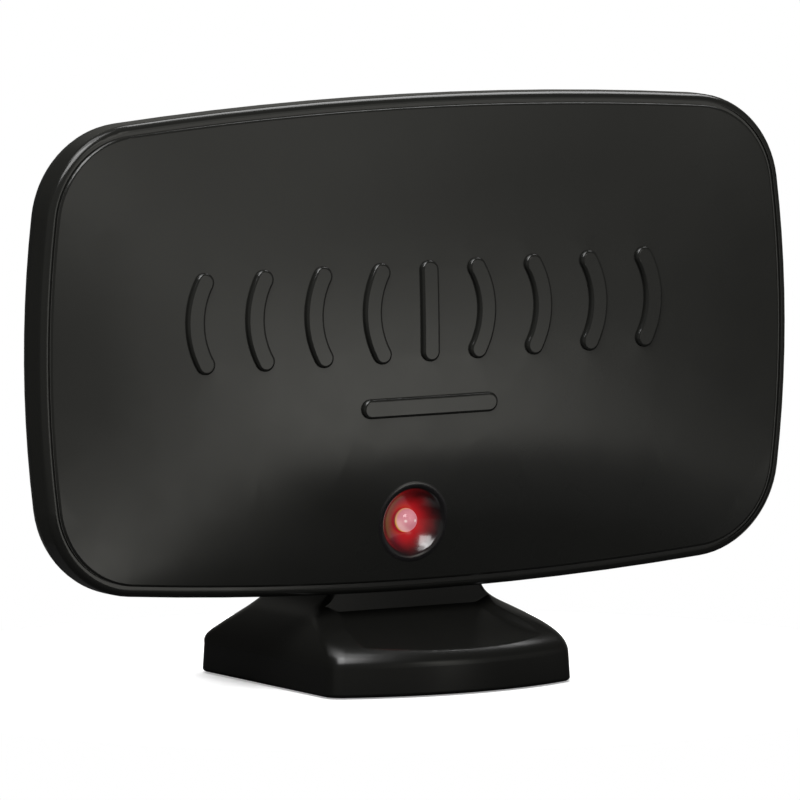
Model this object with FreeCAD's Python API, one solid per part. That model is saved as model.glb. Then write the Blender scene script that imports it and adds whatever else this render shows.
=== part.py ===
"""Active indoor television antenna: a pillow-faced panel on a flared pedestal.

Millimetres, +Z up, the face looks along -Y. The origin is on the floor under the middle of the foot.
"""
import FreeCAD, Part
import math
import os

os.makedirs("parts", exist_ok=True)
V = FreeCAD.Vector

# Panel outline: two wide arcs, two side arcs and four corner arcs
PANEL_W = 200.0
PANEL_H = 115.0
TOP_ARC_R = 914.0
SIDE_ARC_R = 264.0
CORNER_R = 23.4
PANEL_LIFT = 21.85
EDGE_Y = -13.0

# Front cover
SIDE_DEPTH = 6.0
EDGE_ROUND = 1.7
RIM_W = 1.75
GROOVE_W = 0.75
GROOVE_DEPTH = 0.5
DOME_H = 5.0
FACE_ROUND = 0.65
WALL = 2.0
FACE_WALL = 2.4
RELIEF_H = 1.0
RELIEF_STROKE = 4.6
RELIEF_ROUND = 0.65
RELIEF_SPAN = 23.5
RELIEF_PITCH = 15.3
RELIEF_BEND = 19.0
RELIEF_WAVES = 4
RELIEF_UP = 8.0
BAR_LENGTH = 36.0
BAR_UP = -14.0

# Rear cover
BACK_DEPTH = 6.5
BACK_ROUND = 6.3
LIP_H = 1.6
LIP_W = 1.2
LIP_GAP = 0.15
LIP_ROOT = 1.5

# Bracket between the back of the panel and the neck
HEEL_H = 40.0
HEEL_STEP = 3.0
HEEL_FLOOR = 4.0
HEEL_BOSS_L = 5.5
HEEL_SCREW_L = 6.0
HEEL_SCREW_UP = (13.0, 26.0)
HEEL_SCREW_GAP = 0.6
HEEL_BOSS_WALL = 1.6
HEEL_LAND = 0.5
SPIGOT_W = 26.0
SPIGOT_D = 12.0
SPIGOT_H = 9.0

# Self-tapping screws: shank, tip, head and its cross, and the play round the shank
TAP_R = 1.4
HEAD_R = 2.7
HEAD_H = 1.9
HEAD_ROUND = 0.5
TIP_R = 0.3
CROSS_L = 3.0
CROSS_W = 0.6
CROSS_DEEP = 0.9
TAP_PLAY = 0.05
HOLE_PLAY = 0.25
PILOT_SPARE = 0.4
PILOT_DEEP = 0.8
COVER_SCREW_L = 6.5
COVER_SEAT = 3.0
BOSS_R = 3.3
POST_R = 2.9
PAD_R = 4.4
COVER_SPOTS = ((78.0, 36.0), (78.0, -34.0), (31.0, -46.5), (26.0, 47.5))

# Indicator lamp
LAMP_X = -3.2
LAMP_DOWN = 41.0
DISH_R = 8.6
DISH_LIP = 0.5
DISH_DEPTH = 4.6
DISH_FLANGE = 1.8
DISH_FLANGE_T = 1.2
DISH_FLANGE_PLAY = 0.4
DISH_FLOOR_T = 0.2
DISH_RISE = 1.2
DISH_PLAY = 0.08
LENS_R = 2.8
LENS_L = 3.6
LENS_FLANGE = 0.45
LENS_FLANGE_T = 1.0
LEAD_T = 0.5
LEAD_PITCH = 2.54
LEAD_HEAD = 1.6
LEAD_TAIL = 0.9
LEAD_HOLE_R = 0.4
CUP_SEAT = 1.4
CUP_FOOT_R = 0.55
CUP_R = 0.95
CUP_H = 0.9
CUP_DENT_FOOT_R = 0.3
CUP_DENT_R = 0.7
CUP_DENT_H = 0.6
LEAD_POST_L = 0.9
LEAD_POST_H = 0.5

# Amplifier board and radiators
BOARD_W = 50.0
BOARD_T = 1.6
BOARD_ROUND = 2.0
BOARD_TOP = 12.0
BOARD_BOTTOM = -47.0
BOARD_STAND = 2.9
BOARD_SCREW_X = 21.5
BOARD_SCREW_LOW = -34.0
BOARD_SCREW_HIGH = 5.0
BOARD_SCREW_L = 4.2
PLATE_T = 0.6
PLATE_IN = 5.5
PLATE_OUT = 86.0
PLATE_ROOT = (2.0, 14.0)
PLATE_TIP = (-16.0, 28.0)
PLATE_SCREW = (72.0, 6.0)
PLATE_ROUND = 1.5
PLATE_SLOT = ((34.0, 2.0), (64.0, -5.0), (64.0, 17.0), (34.0, 11.0))
CAN_W = 26.0
CAN_H = 17.0
CAN_D = 3.8
CAN_T = 0.4
CAN_UP = -20.0
CAN_ROUND = 0.7
VENT_R = 0.9
VENT_PITCH = 4.0
VENTS = 5

# On the board: two transistor stages, small parts and the balun with its wire
STAGE_X = (-6.5, 5.5)
STAGE_W = 4.6
STAGE_H = 2.6
STAGE_T = 1.6
STAGE_LIFT = 0.1
LEG_W = 0.5
LEG_T = 0.3
LEG_PITCH = 1.5
LEG_OUT = 1.0
TAB_W = 1.8
TAB_OUT = 0.7
CHIP_SPOTS = ((-11.0, -36.0), (-11.0, -40.0), (7.0, -36.0), (10.5, -40.0), (15.0, -40.0), (-15.5, -36.0),
              (-9.0, -6.5), (9.0, -6.5))
CHIP_L = 2.0
CHIP_W = 1.26
CHIP_T = 0.6
CORE_W = 6.4
CORE_D = 3.6
CORE_H = 6.0
CORE_DOWN = 1.0
CORE_ROUND = 1.2
CORE_HOLE_R = 0.8
CORE_HOLE_X = 1.5
WIRE_T = 0.7
WIRE_OUT = 0.9

# Coaxial socket
SOCKET_UP = -3.0
THREAD_R = 4.7
THREAD_L = 12.0
SOCKET_FLANGE = 12.0
BORE_R = 3.5
SOCKET_PLAY = 0.15
NUT_AF = 11.0
NUT_T = 2.4
NUT_CHAMFER = 0.5
NUT_PLAY = 0.02
WASHER_T = 0.6
WASHER_R = 6.6
RUNOUT_W = 0.5
RUNOUT_DEPTH = 0.4
THREAD_CHAMFER = 0.5
CONTACT_R = 0.9
CONTACT_BORE_R = 0.45
CONTACT_PROUD = 0.6
CONTACT_PLAY = 0.1
ENTRY_R = 0.6
MOUTH_RECESS = 1.5
ENTRY_T = 0.4

# Pedestal: foot, rim, neck and the way the flare closes in
FOOT_W = 65.4
FOOT_D = 71.0
FOOT_BOW = 6.0
FOOT_CORNER = 5.0
FOOT_DRAFT = 0.3
RIM_Z = 7.0
RIM_ROUND = 1.5
BASE_ROUND = 0.8
NECK_W = 40.4
NECK_BACK = 20.0
NECK_CORNER = 1.2
NECK_BOW = 0.05
SCOOP_NECK = (18.5, 17.4)
SCOOP_MIDDLE = (20.8, 13.4)
SCOOP_FRONT = (38.0, 9.2)
SCOOP_DEEP = 13.0
SCOOP_RISE = 12.0
SCOOP_SPREAD = 25.0
SCOOP_ROUND = 3.0
SHELL = 2.2
INNER_CORNER = 0.8
POCKET_WALL = 2.0
POCKET_PLAY = 0.2
POCKET_FLOOR = 2.4
STAND_SCREW_X = 8.0
STAND_SCREW_L = 8.0

# Under the foot
FOOT_GAP = 0.3
BOTTOM_T = 2.0
BOTTOM_PLAY = 0.2
BALLAST_T = 3.2
BALLAST_W = 40.0
BALLAST_INSET = 17.5
BALLAST_BACK = 5.0
BALLAST_ROUND = 3.0
PAD_FOOT_R = 4.5
PAD_FOOT_SINK = 1.2
PAD_FOOT_ROUND = 0.4
PAD_SIDE = 7.7
PAD_AHEAD = 14.5
PAD_BEHIND = 8.5
BOTTOM_SCREW_SIDE = 17.7
BOTTOM_SCREW_AHEAD = 14.5
BOTTOM_SCREW_BEHIND = 7.0
BOTTOM_SCREW_L = 5.0
BOTTOM_TIP = 1.0
SINK_H = 1.3
SLOT_L = 3.2
SLOT_W = 0.6
SLOT_DEEP = 0.6

# Room that cutting blocks take beyond the pieces, and how far joined blocks run into each other
AHEAD = 10.0
BEYOND = 1.0
OVERLAP = 0.5

# Planes that several pieces share
PANEL_Z = PANEL_LIFT + PANEL_H / 2
PART_Y = EDGE_Y + SIDE_DEPTH
BACK_Y = PART_Y + BACK_DEPTH
INNER_Y = BACK_Y - WALL
FLOOR_Y = EDGE_Y + GROOVE_DEPTH
BOARD_BACK_Y = INNER_Y - BOARD_STAND
BOARD_FRONT_Y = BOARD_BACK_Y - BOARD_T
PLATE_FRONT_Y = BOARD_FRONT_Y - PLATE_T
FACE_INSET = RIM_W + GROOVE_W
NECK_FRONT = PART_Y
POCKET_Y = (NECK_FRONT + NECK_BACK) / 2
LAMP_Z = PANEL_Z - LAMP_DOWN
LAMP_DOME = DOME_H * (1 - (2 * LAMP_X / PANEL_W) ** 2) * (1 - (2 * LAMP_DOWN / PANEL_H) ** 2)
DISH_FLOOR_Y = EDGE_Y - LAMP_DOME + DISH_DEPTH
DISH_SEAT_Y = DISH_FLOOR_Y + DISH_FLOOR_T
LENS_SEAT_Y = DISH_SEAT_Y + DISH_FLANGE_T
BOTTOM_TOP = FOOT_GAP + BOTTOM_T
STAND_SEAT_Z = PANEL_LIFT - SPIGOT_H - POCKET_FLOOR
FAR_Y = EDGE_Y - DOME_H - AHEAD
PAD_SPOTS = ((FOOT_W / 2 - PAD_SIDE, PAD_AHEAD - FOOT_D / 2),
             (FOOT_W / 2 - PAD_SIDE, FOOT_D / 2 - PAD_BEHIND))
BOTTOM_SCREW_SPOTS = ((FOOT_W / 2 - BOTTOM_SCREW_SIDE, BOTTOM_SCREW_AHEAD - FOOT_D / 2),
                      (FOOT_W / 2 - BOTTOM_SCREW_SIDE, FOOT_D / 2 - BOTTOM_SCREW_BEHIND))
BALLAST_D = FOOT_D - 2 * BALLAST_INSET


# Small helpers

def box(x0, x1, y0, y1, z0, z1):
    """A block between two corners."""
    return Part.makeBox(x1 - x0, y1 - y0, z1 - z0, V(x0, y0, z0))


def rod_y(x, z, r, y0, y1):
    """A round bar from y0 back to y1."""
    return Part.makeCylinder(r, y1 - y0, V(x, y0, z), V(0, 1, 0))


def rod_z(x, y, r, z0, z1):
    """A round bar from z0 up to z1."""
    return Part.makeCylinder(r, z1 - z0, V(x, y, z0), V(0, 0, 1))


def fuse(shapes):
    """One clean solid out of touching ones."""
    shapes = list(shapes)
    if len(shapes) == 1:
        return shapes[0]
    return shapes[0].multiFuse(shapes[1:]).removeSplitter()


def cut(shape, tools):
    """The shape without the tools."""
    return shape.cut(Part.makeCompound(list(tools))) if tools else shape


def prism_xz(points, y0, y1):
    """A flat plate between y0 and y1 from (x, z) points."""
    wire = Part.makePolygon([V(x, y0, z) for x, z in points] + [V(points[0][0], y0, points[0][1])])
    return Part.Face(wire).extrude(V(0, y1 - y0, 0))


def prism_yz(points, x0, x1):
    """A block between x0 and x1 from (y, z) points."""
    wire = Part.makePolygon([V(x0, y, z) for y, z in points] + [V(x0, points[0][0], points[0][1])])
    return Part.Face(wire).extrude(V(x1 - x0, 0, 0))


def both(spots):
    """Every spot and its mirror image in x."""
    return [(s * x, z) for x, z in spots for s in (1, -1)]


def edges_at(shape, axis, value, tol=1e-3):
    """The edges that lie in one plane across an axis."""
    found = []
    for edge in shape.Edges:
        lo = getattr(edge.BoundBox, axis + "Min")
        hi = getattr(edge.BoundBox, axis + "Max")
        if abs(lo - value) < tol and abs(hi - value) < tol:
            found.append(edge)
    return found


def screw(seat, axis, length):
    """A pan-head screw: its head stands on the seat, its shank runs along the axis."""
    back = axis * -1
    top = seat + back * HEAD_H
    head = Part.makeCylinder(HEAD_R, HEAD_H, seat, back)
    rim = [e for e in head.Edges if len(e.Vertexes) == 1]
    rim = [e for e in rim if e.BoundBox.Center.distanceToPoint(top) < HEAD_ROUND]
    head = head.makeFillet(HEAD_ROUND, rim)
    shank = Part.makeCylinder(TAP_R, length - TAP_R, seat, axis)
    tip = Part.makeCone(TAP_R, TIP_R, TAP_R, seat + axis * (length - TAP_R), axis)
    side = axis.cross(V(1, 0, 0))
    slots = []
    for u, w in ((V(1, 0, 0), side), (side, V(1, 0, 0))):
        a = top - u * (CROSS_L / 2) - w * (CROSS_W / 2)
        quad = Part.makePolygon([a, a + u * CROSS_L, a + u * CROSS_L + w * CROSS_W, a + w * CROSS_W, a])
        slots.append(Part.Face(quad).extrude(axis * CROSS_DEEP))
    return fuse([head, shank, tip]).cut(fuse(slots))


# Panel outline and pillow surface

def panel_wire(inset, y):
    """The panel outline, moved inwards by an exact offset."""
    a = PANEL_W / 2 - inset
    b = PANEL_H / 2 - inset
    rs = SIDE_ARC_R - inset
    rt = TOP_ARC_R - inset
    rc = CORNER_R - inset
    side_c = V(a - rs, 0, 0)
    top_c = V(0, 0, b - rt)
    gap = side_c.distanceToPoint(top_c)
    r1 = rs - rc
    r2 = rt - rc
    along = (r1 ** 2 - r2 ** 2 + gap ** 2) / (2 * gap)
    off = math.sqrt(r1 ** 2 - along ** 2)
    u = (top_c - side_c).normalize()
    n = V(-u.z, 0, u.x)
    corner = max((side_c + u * along + n * off, side_c + u * along - n * off), key=lambda p: p.x + p.z)
    p_side = side_c + (corner - side_c).normalize() * rs
    p_top = top_c + (corner - top_c).normalize() * rt
    p_mid = corner + ((p_side - corner) + (p_top - corner)).normalize() * rc

    def at(p, sx, sz):
        return V(sx * p.x, y, PANEL_Z + sz * p.z)

    ring = [
        (at(p_side, 1, -1), V(a, y, PANEL_Z), at(p_side, 1, 1)),
        (at(p_side, 1, 1), at(p_mid, 1, 1), at(p_top, 1, 1)),
        (at(p_top, 1, 1), V(0, y, PANEL_Z + b), at(p_top, -1, 1)),
        (at(p_top, -1, 1), at(p_mid, -1, 1), at(p_side, -1, 1)),
        (at(p_side, -1, 1), V(-a, y, PANEL_Z), at(p_side, -1, -1)),
        (at(p_side, -1, -1), at(p_mid, -1, -1), at(p_top, -1, -1)),
        (at(p_top, -1, -1), V(0, y, PANEL_Z - b), at(p_top, 1, -1)),
        (at(p_top, 1, -1), at(p_mid, 1, -1), at(p_side, 1, -1)),
    ]
    return Part.Wire([Part.Arc(*arc).toShape() for arc in ring])


def panel_prism(inset, y0, y1):
    """The outline as a block between two planes."""
    return Part.Face(panel_wire(inset, y0)).extrude(V(0, y1 - y0, 0))


def behind_pillow(shift, height=DOME_H):
    """All room behind the pillow, the pillow moved forwards by the shift.

    One patch of three by three poles. Pulling the middle pole by four times the height gives a dome that is
    level along all four sides, so its slope fades out towards the corners.
    """
    patch = Part.BezierSurface()
    patch.increase(2, 2)
    for i in range(3):
        for j in range(3):
            lift = 4 * height if i == 1 and j == 1 else 0.0
            pole = V((i - 1) * PANEL_W / 2, EDGE_Y - shift - lift, PANEL_Z + (j - 1) * PANEL_H / 2)
            patch.setPole(i + 1, j + 1, pole)
    return patch.toShape().extrude(V(0, PANEL_H / 2, 0))


# Front cover

def arc_stroke(out, side):
    """A raised wave of the decoration as a block through the face, with round ends."""
    half = RELIEF_STROKE / 2
    radius = RELIEF_BEND
    reach = math.asin((RELIEF_SPAN / 2 - half) / radius)
    hub = out - radius
    z0 = PANEL_Z + RELIEF_UP
    y0 = FAR_Y
    depth = FLOOR_Y - FAR_Y

    def at(r, a):
        return V(side * (hub + r * math.cos(a)), y0, z0 + r * math.sin(a))

    def cap(a, turn):
        mid = at(radius, a) + V(-side * turn * math.sin(a), 0, turn * math.cos(a)) * half
        return mid

    edges = [
        Part.Arc(at(radius + half, -reach), at(radius + half, 0), at(radius + half, reach)),
        Part.Arc(at(radius + half, reach), cap(reach, 1), at(radius - half, reach)),
        Part.Arc(at(radius - half, reach), at(radius - half, 0), at(radius - half, -reach)),
        Part.Arc(at(radius - half, -reach), cap(-reach, -1), at(radius + half, -reach)),
    ]
    return Part.Face(Part.Wire([e.toShape() for e in edges])).extrude(V(0, depth, 0))


def bar_stroke(length, up, upright):
    """A raised straight bar with round ends."""
    half = RELIEF_STROKE / 2
    run = length / 2 - half
    y0 = FAR_Y
    z0 = PANEL_Z + up

    def at(s, t):
        return V(t, y0, z0 + s) if upright else V(s, y0, z0 + t)

    edges = [
        Part.makeLine(at(-run, half), at(run, half)),
        Part.Arc(at(run, half), at(run + half, 0), at(run, -half)).toShape(),
        Part.makeLine(at(run, -half), at(-run, -half)),
        Part.Arc(at(-run, -half), at(-run - half, 0), at(-run, half)).toShape(),
    ]
    return Part.Face(Part.Wire(edges)).extrude(V(0, FLOOR_Y - FAR_Y, 0))


def relief():
    """Plain waves either side of a mast, with a short bar below: raised strokes that follow the pillow."""
    blocks = [bar_stroke(RELIEF_SPAN, RELIEF_UP, True), bar_stroke(BAR_LENGTH, BAR_UP, False)]
    for step in range(1, RELIEF_WAVES + 1):
        for side in (1, -1):
            blocks.append(arc_stroke(step * RELIEF_PITCH, side))
    top = behind_pillow(RELIEF_H)
    strokes = []
    for block in blocks:
        stroke = block.common(top)
        front = [f for f in stroke.Faces if "Bezier" in f.Surface.TypeId or "BSpline" in f.Surface.TypeId]
        strokes.append(stroke.makeFillet(RELIEF_ROUND, front[0].Edges))
    return strokes


def front_cover():
    """Rim with a rounded edge, groove, pillow face with its relief, hollow behind, bosses and lamp collar."""
    rim = panel_prism(0, EDGE_Y, PART_Y)
    rim = rim.makeFillet(EDGE_ROUND, edges_at(rim, "Y", EDGE_Y))
    ring = panel_prism(RIM_W, EDGE_Y, FLOOR_Y).cut(panel_prism(FACE_INSET, EDGE_Y, FLOOR_Y))
    face = panel_prism(FACE_INSET, FAR_Y, FLOOR_Y + OVERLAP).common(behind_pillow(0))
    front = [f for f in face.Faces if "Bezier" in f.Surface.TypeId or "BSpline" in f.Surface.TypeId]
    face = face.makeFillet(FACE_ROUND, front[0].Edges)
    body = fuse([rim.cut(ring), face] + relief())
    hollow = panel_prism(WALL, FAR_Y, PART_Y).common(behind_pillow(-FACE_WALL))
    shell = body.cut(hollow)
    posts = [rod_y(x, PANEL_Z + z, BOSS_R, EDGE_Y, PART_Y) for x, z in both(COVER_SPOTS)]
    posts.append(rod_y(LAMP_X, LAMP_Z, DISH_R + DISH_FLANGE, EDGE_Y - DOME_H, DISH_SEAT_Y))
    posts = [post.common(behind_pillow(-FACE_WALL / 2)) for post in posts]
    shell = fuse([shell] + posts)
    tip = PART_Y - COVER_SCREW_L + COVER_SEAT - PILOT_SPARE
    holes = [rod_y(x, PANEL_Z + z, TAP_R + TAP_PLAY, tip, PART_Y + BEYOND) for x, z in both(COVER_SPOTS)]
    holes.append(rod_y(LAMP_X, LAMP_Z, DISH_R + DISH_PLAY, FAR_Y, PART_Y))
    return cut(shell, holes)


# Indicator lamp

def lamp_dish():
    """A bowl that follows the face at its lip, with a flange behind the collar and a hole for the lens."""
    outer = rod_y(LAMP_X, LAMP_Z, DISH_R, EDGE_Y - DOME_H, DISH_SEAT_Y)
    flange = rod_y(LAMP_X, LAMP_Z, DISH_R + DISH_FLANGE - DISH_FLANGE_PLAY, DISH_SEAT_Y, LENS_SEAT_Y)
    mouth = DISH_R - DISH_LIP
    deep = DISH_DEPTH + DISH_RISE
    bowl = Part.makeSphere(1.0)
    scale = FreeCAD.Matrix()
    scale.scale(mouth, deep, mouth)
    bowl = bowl.transformGeometry(scale)
    bowl.translate(V(LAMP_X, DISH_FLOOR_Y - deep, LAMP_Z))
    neck = rod_y(LAMP_X, LAMP_Z, mouth, FAR_Y, DISH_FLOOR_Y - deep)
    hole = rod_y(LAMP_X, LAMP_Z, LENS_R + DISH_PLAY, EDGE_Y, LENS_SEAT_Y + BEYOND)
    dish = fuse([outer, flange]).common(behind_pillow(0))
    return cut(dish, [bowl, neck, hole])


def lamp_leads():
    """Two legs with the post and the cup of the lead frame at their heads."""
    half = LEAD_T / 2
    seat = LENS_SEAT_Y - CUP_SEAT
    ahead = V(0, -1, 0)
    legs = []
    for side in (-1, 1):
        x = LAMP_X + side * LEAD_PITCH / 2
        leg = box(x - half, x + half, LENS_SEAT_Y - LEAD_HEAD, BOARD_BACK_Y + LEAD_TAIL,
                  LAMP_Z - half, LAMP_Z + half)
        if side < 0:
            cup = Part.makeCone(CUP_FOOT_R, CUP_R, CUP_H, V(x, seat, LAMP_Z), ahead)
            dent_y = seat - CUP_H + CUP_DENT_H
            dent = Part.makeCone(CUP_DENT_FOOT_R, CUP_DENT_R, CUP_DENT_H, V(x, dent_y, LAMP_Z), ahead)
            leg = fuse([leg, cup]).cut(dent)
        else:
            post = box(x - LEAD_POST_L, x + half, seat - LEAD_POST_H, seat, LAMP_Z - half, LAMP_Z + half)
            leg = fuse([leg, post])
        legs.append(leg)
    return Part.makeCompound(legs)


def lamp_lens(leads):
    """A round-topped lens with a flange that rests behind the dish."""
    top = DISH_FLOOR_Y - LENS_L + LENS_R
    flange = rod_y(LAMP_X, LAMP_Z, LENS_R + LENS_FLANGE, LENS_SEAT_Y, LENS_SEAT_Y + LENS_FLANGE_T)
    barrel = rod_y(LAMP_X, LAMP_Z, LENS_R, top, LENS_SEAT_Y)
    dome = Part.makeSphere(LENS_R, V(LAMP_X, top, LAMP_Z))
    return fuse([flange, barrel, dome]).cut(leads)


# Rear cover

def back_block(inset, depth):
    """The tray behind the parting plane as a solid block with a soft edge."""
    block = panel_prism(inset, PART_Y, PART_Y + depth)
    return block.makeFillet(BACK_ROUND - inset, edges_at(block, "Y", PART_Y + depth))


def heel_spots():
    """Where the bracket is screwed to the back, beside its two side walls."""
    x = NECK_W / 2 - WALL - TAP_R - HEEL_SCREW_GAP
    return both([(x, PANEL_LIFT + up - PANEL_Z) for up in HEEL_SCREW_UP])


def rear_cover():
    """Back shell with a lip, counterbored screw pads, posts for board and plates, and the socket hole."""
    shell = back_block(0, BACK_DEPTH).cut(back_block(WALL, BACK_DEPTH - WALL))
    lip = panel_prism(WALL + LIP_GAP, PART_Y - LIP_H, PART_Y + LIP_ROOT)
    lip = lip.cut(panel_prism(WALL + LIP_GAP + LIP_W, PART_Y - LIP_H, PART_Y + LIP_ROOT))
    parts = [shell, lip]
    parts += [rod_y(x, PANEL_Z + z, PAD_R, PART_Y, BACK_Y - OVERLAP) for x, z in both(COVER_SPOTS)]
    spots = both([(BOARD_SCREW_X, BOARD_SCREW_LOW), (BOARD_SCREW_X, BOARD_SCREW_HIGH)])
    parts += [rod_y(x, PANEL_Z + z, POST_R, BOARD_BACK_Y, BACK_Y - OVERLAP) for x, z in spots]
    parts += [rod_y(x, PANEL_Z + z, POST_R, BOARD_FRONT_Y, BACK_Y - OVERLAP) for x, z in both([PLATE_SCREW])]
    body = fuse(parts)
    holes = []
    for x, z in both(COVER_SPOTS):
        holes.append(rod_y(x, PANEL_Z + z, TAP_R + HOLE_PLAY, PART_Y - BEYOND, BACK_Y + BEYOND))
        holes.append(rod_y(x, PANEL_Z + z, HEAD_R + HOLE_PLAY, PART_Y + COVER_SEAT, BACK_Y + BEYOND))
    for x, z in spots:
        holes.append(rod_y(x, PANEL_Z + z, TAP_R + TAP_PLAY, BOARD_BACK_Y - BEYOND, INNER_Y + PILOT_DEEP))
    for x, z in both([PLATE_SCREW]):
        holes.append(rod_y(x, PANEL_Z + z, TAP_R + TAP_PLAY, BOARD_FRONT_Y - BEYOND, INNER_Y + PILOT_DEEP))
    for x, z in heel_spots():
        holes.append(rod_y(x, PANEL_Z + z, TAP_R + HOLE_PLAY, INNER_Y - BEYOND, BACK_Y + BEYOND))
    holes.append(rod_y(0, PANEL_Z + SOCKET_UP, THREAD_R + SOCKET_PLAY, INNER_Y - BEYOND, BACK_Y + BEYOND))
    return cut(body, holes)


# Bracket

def wedge(inset, floor):
    """The side view of the bracket drawn out to its width, or the room inside it."""
    z0 = PANEL_LIFT + floor
    top = PANEL_LIFT + HEEL_H - 2 * inset
    back = NECK_BACK - inset
    step = PANEL_LIFT + max(HEEL_STEP, floor + HEEL_LAND)
    points = [(PART_Y, z0), (back, z0), (back, step), (BACK_Y, top), (PART_Y, top)]
    return prism_yz(points, -NECK_W / 2 + inset, NECK_W / 2 - inset)


def heel_bracket():
    """A hollow wedge that hugs the back of the panel, stands on the neck and has a spigot to go into it."""
    outer = wedge(0, 0)
    corner = [e for e in outer.Edges if e.BoundBox.XLength < 1e-3 and e.BoundBox.YMin > PART_Y + BEYOND
              and e.BoundBox.ZLength > BEYOND]
    outer = outer.makeFillet(NECK_CORNER, corner)
    spigot = box(-SPIGOT_W / 2, SPIGOT_W / 2, POCKET_Y - SPIGOT_D / 2, POCKET_Y + SPIGOT_D / 2,
                 PANEL_LIFT - SPIGOT_H, PANEL_LIFT + BEYOND)
    spots = heel_spots()
    bosses = [rod_y(x, PANEL_Z + z, TAP_R + HEEL_BOSS_WALL, BACK_Y, BACK_Y + HEEL_BOSS_L).common(outer)
              for x, z in spots]
    body = fuse([outer.cut(wedge(WALL, HEEL_FLOOR)), spigot] + bosses)
    tip = BACK_Y + HEEL_SCREW_L - WALL + PILOT_SPARE
    holes = [rod_y(x, PANEL_Z + z, TAP_R + TAP_PLAY, BACK_Y - BEYOND, tip) for x, z in spots]
    for x in (STAND_SCREW_X, -STAND_SCREW_X):
        holes.append(rod_z(x, POCKET_Y, TAP_R + TAP_PLAY, PANEL_LIFT - SPIGOT_H - BEYOND, PANEL_LIFT))
    return cut(body, holes + [back_block(0, BACK_DEPTH)])


# Radiators, board and what sits on it

def radiator(side):
    """A stamped bow-tie plate with a lightening slot and holes for its screws."""
    low = (PLATE_ROOT[0], PLATE_TIP[0])
    high = (PLATE_ROOT[1], PLATE_TIP[1])
    points = [(PLATE_IN, low[0]), (PLATE_OUT, low[1]), (PLATE_OUT, high[1]), (PLATE_IN, high[0])]
    plate = prism_xz([(side * x, PANEL_Z + z) for x, z in points], PLATE_FRONT_Y, BOARD_FRONT_Y)
    ends = [e for e in plate.Edges if abs(e.BoundBox.YLength - PLATE_T) < 1e-3 and e.BoundBox.XLength < 1e-3]
    plate = plate.makeFillet(PLATE_ROUND, ends)
    y0 = PLATE_FRONT_Y - BEYOND
    y1 = BOARD_FRONT_Y + BEYOND
    tools = [prism_xz([(side * x, PANEL_Z + z) for x, z in PLATE_SLOT], y0, y1)]
    for x, z in (PLATE_SCREW, (BOARD_SCREW_X, BOARD_SCREW_HIGH)):
        tools.append(rod_y(side * x, PANEL_Z + z, TAP_R + HOLE_PLAY, y0, y1))
    return cut(plate, tools)


def amplifier_board():
    """The board, with holes for its screws, the lamp and the socket."""
    half = BOARD_W / 2
    board = box(-half, half, BOARD_FRONT_Y, BOARD_BACK_Y, PANEL_Z + BOARD_BOTTOM, PANEL_Z + BOARD_TOP)
    corners = [e for e in board.Edges if abs(e.BoundBox.YLength - BOARD_T) < 1e-3]
    board = board.makeFillet(BOARD_ROUND, corners)
    y0 = BOARD_FRONT_Y - BEYOND
    y1 = BOARD_BACK_Y + BEYOND
    tools = []
    for x, z in both([(BOARD_SCREW_X, BOARD_SCREW_LOW), (BOARD_SCREW_X, BOARD_SCREW_HIGH)]):
        tools.append(rod_y(x, PANEL_Z + z, TAP_R + HOLE_PLAY, y0, y1))
    for side in (-1, 1):
        tools.append(rod_y(LAMP_X + side * LEAD_PITCH / 2, LAMP_Z, LEAD_HOLE_R, y0, y1))
    tools.append(rod_y(0, PANEL_Z + SOCKET_UP, CONTACT_R + CONTACT_PLAY, y0, y1))
    return cut(board, tools)


def shield_can():
    """A folded tin box, open to the board, with a row of vent holes."""
    z0 = PANEL_Z + CAN_UP - CAN_H / 2
    z1 = PANEL_Z + CAN_UP + CAN_H / 2
    front = BOARD_FRONT_Y - CAN_D
    can = box(-CAN_W / 2, CAN_W / 2, front, BOARD_FRONT_Y, z0, z1)
    soft = [e for e in can.Edges if abs(e.BoundBox.YMax - front) < 1e-3]
    can = can.makeFillet(CAN_ROUND, soft)
    inside = box(-CAN_W / 2 + CAN_T, CAN_W / 2 - CAN_T, front + CAN_T, BOARD_FRONT_Y + BEYOND,
                 z0 + CAN_T, z1 - CAN_T)
    row = [VENT_PITCH * (k - (VENTS - 1) / 2) for k in range(VENTS)]
    vents = [rod_y(x, PANEL_Z + CAN_UP, VENT_R, front - BEYOND, front + BEYOND) for x in row]
    return cut(can, [inside] + vents)


def amplifier_chips():
    """Two transistor stages under the shield, each with three legs and a tab."""
    y = BOARD_FRONT_Y
    z = PANEL_Z + CAN_UP
    low = z - STAGE_H / 2
    high = z + STAGE_H / 2
    chips = []
    for x in STAGE_X:
        body = box(x - STAGE_W / 2, x + STAGE_W / 2, y - STAGE_T, y - STAGE_LIFT, low, high)
        tab = box(x - TAB_W / 2, x + TAB_W / 2, y - LEG_T, y, high - LEG_T, high + TAB_OUT)
        legs = [box(x + d - LEG_W / 2, x + d + LEG_W / 2, y - LEG_T, y, low - LEG_OUT, low + LEG_T)
                for d in (-LEG_PITCH, 0, LEG_PITCH)]
        chips.append(fuse([body, tab] + legs))
    return Part.makeCompound(chips)


def chip_parts():
    """Small resistors and capacitors, flat on the board."""
    parts = []
    for x, up in CHIP_SPOTS:
        z = PANEL_Z + up
        parts.append(box(x - CHIP_L / 2, x + CHIP_L / 2, BOARD_FRONT_Y - CHIP_T, BOARD_FRONT_Y,
                         z - CHIP_W / 2, z + CHIP_W / 2))
    return Part.makeCompound(parts)


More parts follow.
